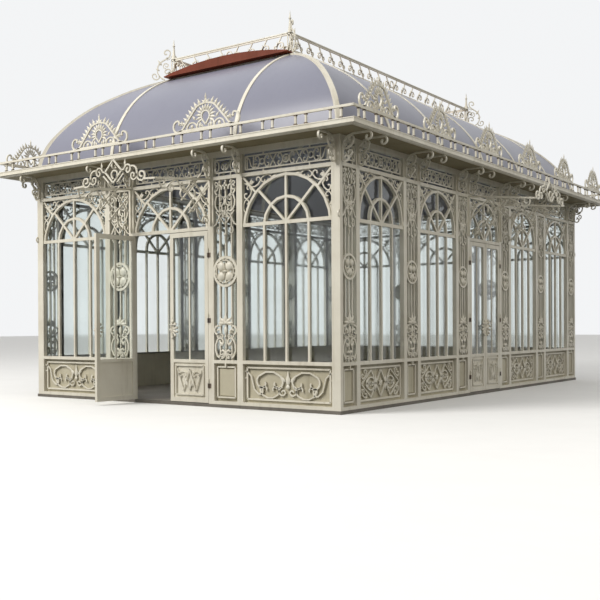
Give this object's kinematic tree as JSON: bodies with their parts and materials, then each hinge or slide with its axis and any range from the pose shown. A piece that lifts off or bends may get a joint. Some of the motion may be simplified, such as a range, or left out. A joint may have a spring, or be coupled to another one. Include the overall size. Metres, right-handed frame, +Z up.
{
  "type": "orangery",
  "caption": "Ornamental iron orangery with arched windows, glazed double doors, porch brackets, pierced crests and a curved translucent hipped roof",
  "frame": {"origin": "plan centre of the walls at ground level, on the flat underside of the floor and base", "axes": "+X towards the side with the closed double door, +Y along the long side and away from the front door, +Z up"},
  "size_m": [6.806, 9.566, 5.35],
  "materials": {
    "painted_iron": "ivory satin paint on iron, slightly weathered",
    "window_glass": "clear glass",
    "roof_sheet": "curved translucent blue-grey sheet, smooth",
    "soffit_boards": "painted boards, matt beige",
    "panel_sheet": "beige satin paint on sheet metal",
    "ridge_red_brown": "red-brown satin paint",
    "floor_stone": "honed stone",
    "plinth": "dark weathered paint",
    "hinge_iron": "worn dark iron"
  },
  "bodies": {
    "building": {"back_glass": "window_glass", "back_panels": "panel_sheet", "back_wall": "painted_iron", "base_frame": "plinth", "cross_ribs": "painted_iron", "door_hinges": "hinge_iron", "eave_crests": "painted_iron", "floor_slab": "floor_stone", "front_glass": "window_glass", "front_over_door": "painted_iron", "front_panels": "panel_sheet", "front_wall_left": "painted_iron", "front_wall_right": "painted_iron", "gutter": "painted_iron", "hip_ribs": "painted_iron", "left_glass": "window_glass", "left_panels": "panel_sheet", "left_wall": "painted_iron", "low_rail": "painted_iron", "porch_arms": "painted_iron", "porch_pediments": "painted_iron", "ridge_cap": "ridge_red_brown", "ridge_cresting": "painted_iron", "ridge_curb": "painted_iron", "ridge_finials": "painted_iron", "ridge_hoods": "ridge_red_brown", "ridge_wings": "painted_iron", "right_glass": "window_glass", "right_over_door": "painted_iron", "right_panels": "panel_sheet", "right_wall_far": "painted_iron", "right_wall_near": "painted_iron", "roof_glazing_back": "roof_sheet", "roof_glazing_front": "roof_sheet", "roof_glazing_left": "roof_sheet", "roof_glazing_right": "roof_sheet", "roof_ring": "painted_iron", "soffit": "soffit_boards"},
    "front_left_leaf": {"front_door_left": "painted_iron", "front_door_left_glass": "window_glass"},
    "front_right_leaf": {"front_door_right": "painted_iron", "front_door_right_glass": "window_glass"},
    "side_near_leaf": {"side_door_near": "painted_iron", "side_door_near_glass": "window_glass"},
    "side_far_leaf": {"side_door_far": "painted_iron", "side_door_far_glass": "window_glass"}
  },
  "joints": [
    {"name": "front_left_hinge", "type": "hinge", "parent": "building", "child": "front_left_leaf", "pos_m": [-0.67, -4.094, 1.14], "axis": [0, 0, 1], "range_deg": [0, 95]},
    {"name": "front_right_hinge", "type": "hinge", "parent": "building", "child": "front_right_leaf", "pos_m": [0.67, -4.094, 1.14], "axis": [0, 0, 1], "range_deg": [0, 100]},
    {"name": "side_near_hinge", "type": "hinge", "parent": "building", "child": "side_near_leaf", "pos_m": [2.689, -0.545, 1.14], "axis": [0, 0, -1], "range_deg": [0, 100]},
    {"name": "side_far_hinge", "type": "hinge", "parent": "building", "child": "side_far_leaf", "pos_m": [2.689, 0.545, 1.14], "axis": [0, 0, 1], "range_deg": [0, 100]}
  ]
}
